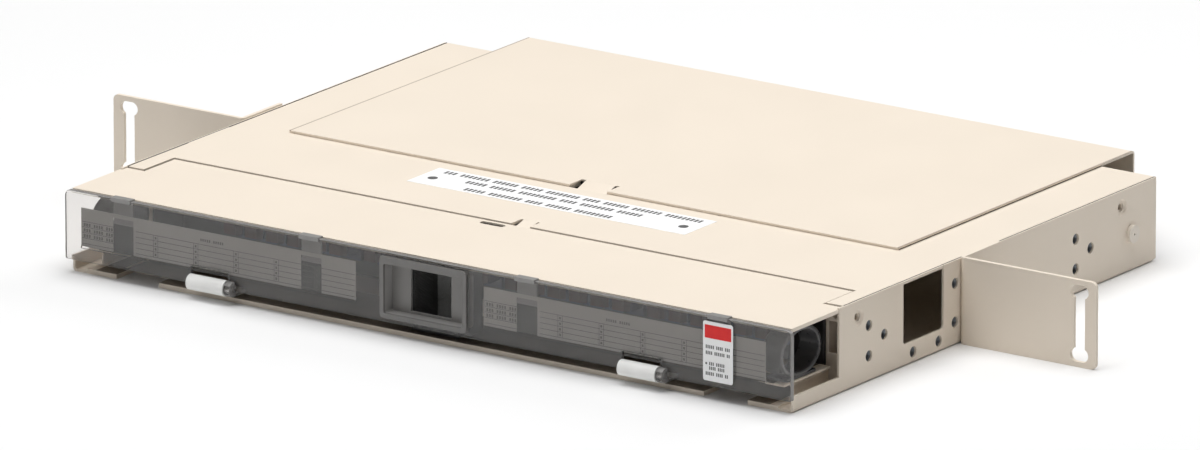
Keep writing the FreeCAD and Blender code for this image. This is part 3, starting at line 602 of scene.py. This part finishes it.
# The cards' rules run in two fields, with a notch between them and columns of marks in the right one
CARD_RULES = 5
CARD_TOP_RULE = 7.0
CARD_RULE_PITCH = 2.8
CARD_LINE = 0.3
CARD_MARGIN = 0.6
CARD_LEFT_FIELD = 19.0
CARD_RIGHT_START = 33.0
CARD_COLUMNS = 5
CARD_COLUMN_START = 43.5
CARD_COLUMN_PITCH = 24.2
CARD_COLUMN_WIDTH = 2.7
CARD_MARK_INSET = 0.9
CARD_MARK = (1.1, 1.2)
CARD_HEADING_START = 72.0
CARD_HEADING_DROP = 5.2
CARD_HEADING_GROUPS = (5, 5)
CARD_HEADING_BLOCKS = (1.3, 0.8, 1.4)
CARD_ENTRY_START = 1.6
CARD_ENTRY_RISE = 0.6
CARD_ENTRY_GROUPS = (3, 4, 3)
CARD_ENTRY_BLOCKS = (1.5, 1.0, 1.6)


def printed(name, body, origin, right, up, shapes, ink, thickness=FILM):
    """A thin film of shapes, in millimetres from a face's corner, that rides on a body."""
    out = right.cross(up)
    points = []
    faces = []
    for shape in shapes:
        count = len(shape)
        first = len(points)
        for height in (0, thickness):
            points += [origin + (right * u + up * v + out * height) * MM for u, v in shape]
        faces.append([first + place for place in reversed(range(count))])
        faces.append([first + count + place for place in range(count)])
        for place in range(count):
            after = (place + 1) % count
            faces.append([first + place, first + after, first + count + after, first + count + place])
    made = new_piece(name, points, faces, ink)
    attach(made, body)


def print_label(ink):
    low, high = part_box("top_label")
    corner = Vector((low.x, low.y, high.z))
    shapes = []
    for left, bottom, groups in LABEL_ROWS:
        shapes += block_row(left, bottom, groups, *LABEL_BLOCKS)
    shapes += [dot(across, LABEL_DOT_HEIGHT, LABEL_DOT_RADIUS) for across in LABEL_DOTS]
    printed("label_print", "chassis", corner, X, Y, shapes, ink)


def print_sticker(ink, band_ink):
    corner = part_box("door_sticker")[0]
    printed("sticker_band", "door", corner, X, Z, [STICKER_BAND], band_ink)
    shapes = []
    for left, bottom, groups in STICKER_ROWS:
        shapes += block_row(left, bottom, groups, *STICKER_BLOCKS)
    shapes.append(STICKER_DOT)
    printed("sticker_print", "door", corner, X, Z, shapes, ink)


def print_card(name, ink):
    low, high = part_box(name)
    width = (high.x - low.x) / MM
    height = (high.z - low.z) / MM
    rules = [height - CARD_TOP_RULE - CARD_RULE_PITCH * row for row in range(CARD_RULES)]
    right_field = width - CARD_RIGHT_START - CARD_MARGIN
    shapes = []
    for level in rules:
        shapes.append(rectangle(CARD_MARGIN, level, CARD_LEFT_FIELD, CARD_LINE))
        shapes.append(rectangle(CARD_RIGHT_START, level, right_field, CARD_LINE))
    for column in range(CARD_COLUMNS):
        start = CARD_COLUMN_START + CARD_COLUMN_PITCH * column
        for side in (0, CARD_COLUMN_WIDTH):
            shapes.append(rectangle(start + side, rules[-1], CARD_LINE, rules[0] - rules[-1]))
        for level in rules[1:]:
            shapes.append(rectangle(start + CARD_MARK_INSET, level + CARD_MARK_INSET, *CARD_MARK))
    heading = height - CARD_HEADING_DROP
    shapes += block_row(CARD_HEADING_START, heading, CARD_HEADING_GROUPS, *CARD_HEADING_BLOCKS)
    for level in rules[1:-1]:
        shapes += block_row(CARD_ENTRY_START, level + CARD_ENTRY_RISE, CARD_ENTRY_GROUPS, *CARD_ENTRY_BLOCKS)
    printed(name + "_print", "door", low, X, Z, shapes, ink)


# Lower ends of the card clips, in millimetres from the card's lower left corner

TAIL_MIDDLES = (25.5, 138.5)
TAIL_WIDTH = 14.0
TAIL_HEIGHT = 14.2
TAIL_RADIUS = 1.0
TAIL_FOOT = 0.1
TAIL_GAP = 0.55
TAIL_THICKNESS = 0.4


def clip_tails(card_name, plastic):
    """The clips' lower ends, which close the card's notches from behind and stand on its ledge."""
    low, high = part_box(card_name)
    corner = Vector((low.x, high.y + TAIL_GAP * MM, low.z))
    shapes = []
    for middle in TAIL_MIDDLES:
        shapes.append(rounded_tab(middle - TAIL_WIDTH / 2, TAIL_FOOT, TAIL_WIDTH, TAIL_HEIGHT, TAIL_RADIUS))
    printed(card_name + "_clip_tails", "door", corner, X, Z, shapes, plastic, TAIL_THICKNESS)


# Thread ridges in the wall inserts

# One turn of the ridge: shares of the pitch, with radii in millimetres
THREAD_TURN = ((0.0, 2.42), (0.1, 2.38), (0.5, 2.05), (0.9, 2.38))
THREAD_ROOT = THREAD_TURN[0][1]
THREAD_TURNS = 5
THREAD_SIDES = 32

# A point this near to an insert's first point belongs to that insert
INSERT_REACH = 9.0 * MM


def insert_middles(name):
    """The middles, as y and z, of a node's inserts."""
    groups = []
    for vertex in nodes[name].data.vertices:
        point = Vector((vertex.co.y, vertex.co.z))
        near = [group for group in groups if (group[0] - point).length < INSERT_REACH]
        if near:
            near[0].append(point)
        else:
            groups.append([point])
    middles = []
    for group in groups:
        ys = [point.x for point in group]
        zs = [point.y for point in group]
        middles.append(((min(ys) + max(ys)) / 2, (min(zs) + max(zs)) / 2))
    return middles


def threads(name, outward, steel):
    """Thread ridges inside a row of inserts, from their outer face inwards."""
    low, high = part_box(name)
    face = high.x if outward > 0 else low.x
    pitch = (high.x - low.x) / THREAD_TURNS
    profile = []
    for turn in range(THREAD_TURNS):
        profile += [(turn + share, radius) for share, radius in THREAD_TURN]
    profile.append((THREAD_TURNS, THREAD_ROOT))
    points = []
    faces = []
    for y, z in insert_middles(name):
        first = len(points)
        for depth, radius in profile:
            x = face - outward * depth * pitch
            points += [(x, y + across * MM, z + up * MM) for across, up in dot(0, 0, radius, THREAD_SIDES)]
        for ring in range(len(profile) - 1):
            here = first + ring * THREAD_SIDES
            ahead = here + THREAD_SIDES
            for side in range(THREAD_SIDES):
                after = (side + 1) % THREAD_SIDES
                faces.append((here + side, here + after, ahead + after, ahead + side))
    made = new_piece(name + "_threads", points, faces, steel)
    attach(made, "chassis")


# The added pieces in their places

threads("wall_inserts_right", 1, thread_steel)
threads("wall_inserts_left", -1, thread_steel)
tail_plastic = textured("tail_plastic")
for card in CARDS:
    clip_tails(card, tail_plastic)
print_ink = textured("print_ink")
card_ink = textured("card_ink")
print_label(print_ink)
print_sticker(print_ink, textured("band_ink"))
for card in CARDS:
    print_card(card, card_ink)


# Stage, light and camera


def add_floor():
    corners = ((-1, -1), (1, -1), (1, 1), (-1, 1))
    points = [(x * FLOOR_REACH, y * FLOOR_REACH, 0) for x, y in corners]
    made = new_piece("floor", points, [(0, 1, 2, 3)], textured("pale_floor"))


def add_light(name, place, size, power):
    data = bpy.data.lights.new(name, "AREA")
    data.shape = "SQUARE"
    data.size = size
    data.energy = power
    made = bpy.data.objects.new(name, data)
    made.location = place
    made.rotation_euler = (-Vector(place)).to_track_quat("-Z", "Y").to_euler()
    bpy.context.scene.collection.objects.link(made)


def set_world():
    made = bpy.data.worlds.new("studio")
    made.use_nodes = True
    background = made.node_tree.nodes["Background"]
    background.inputs["Color"].default_value = (*WORLD_COLOUR, 1)
    background.inputs["Strength"].default_value = WORLD_STRENGTH
    bpy.context.scene.world = made


def add_camera():
    data = bpy.data.cameras.new("camera")
    data.sensor_width = SENSOR_WIDTH
    data.lens = SENSOR_WIDTH * VIEW_DISTANCE / VIEW_WIDTH
    data.clip_end = VIEW_END
    made = bpy.data.objects.new("camera", data)
    back = Vector(
        (
            math.sin(VIEW_AZIMUTH) * math.cos(VIEW_ELEVATION),
            -math.cos(VIEW_AZIMUTH) * math.cos(VIEW_ELEVATION),
            math.sin(VIEW_ELEVATION),
        )
    )
    made.location = VIEW_TARGET + back * VIEW_DISTANCE
    made.rotation_euler = (-back).to_track_quat("-Z", "Y").to_euler()
    bpy.context.scene.collection.objects.link(made)
    bpy.context.scene.camera = made


add_floor()
for light in LIGHTS:
    add_light(*light)
set_world()
add_camera()
bpy.context.scene.view_settings.view_transform = "Standard"
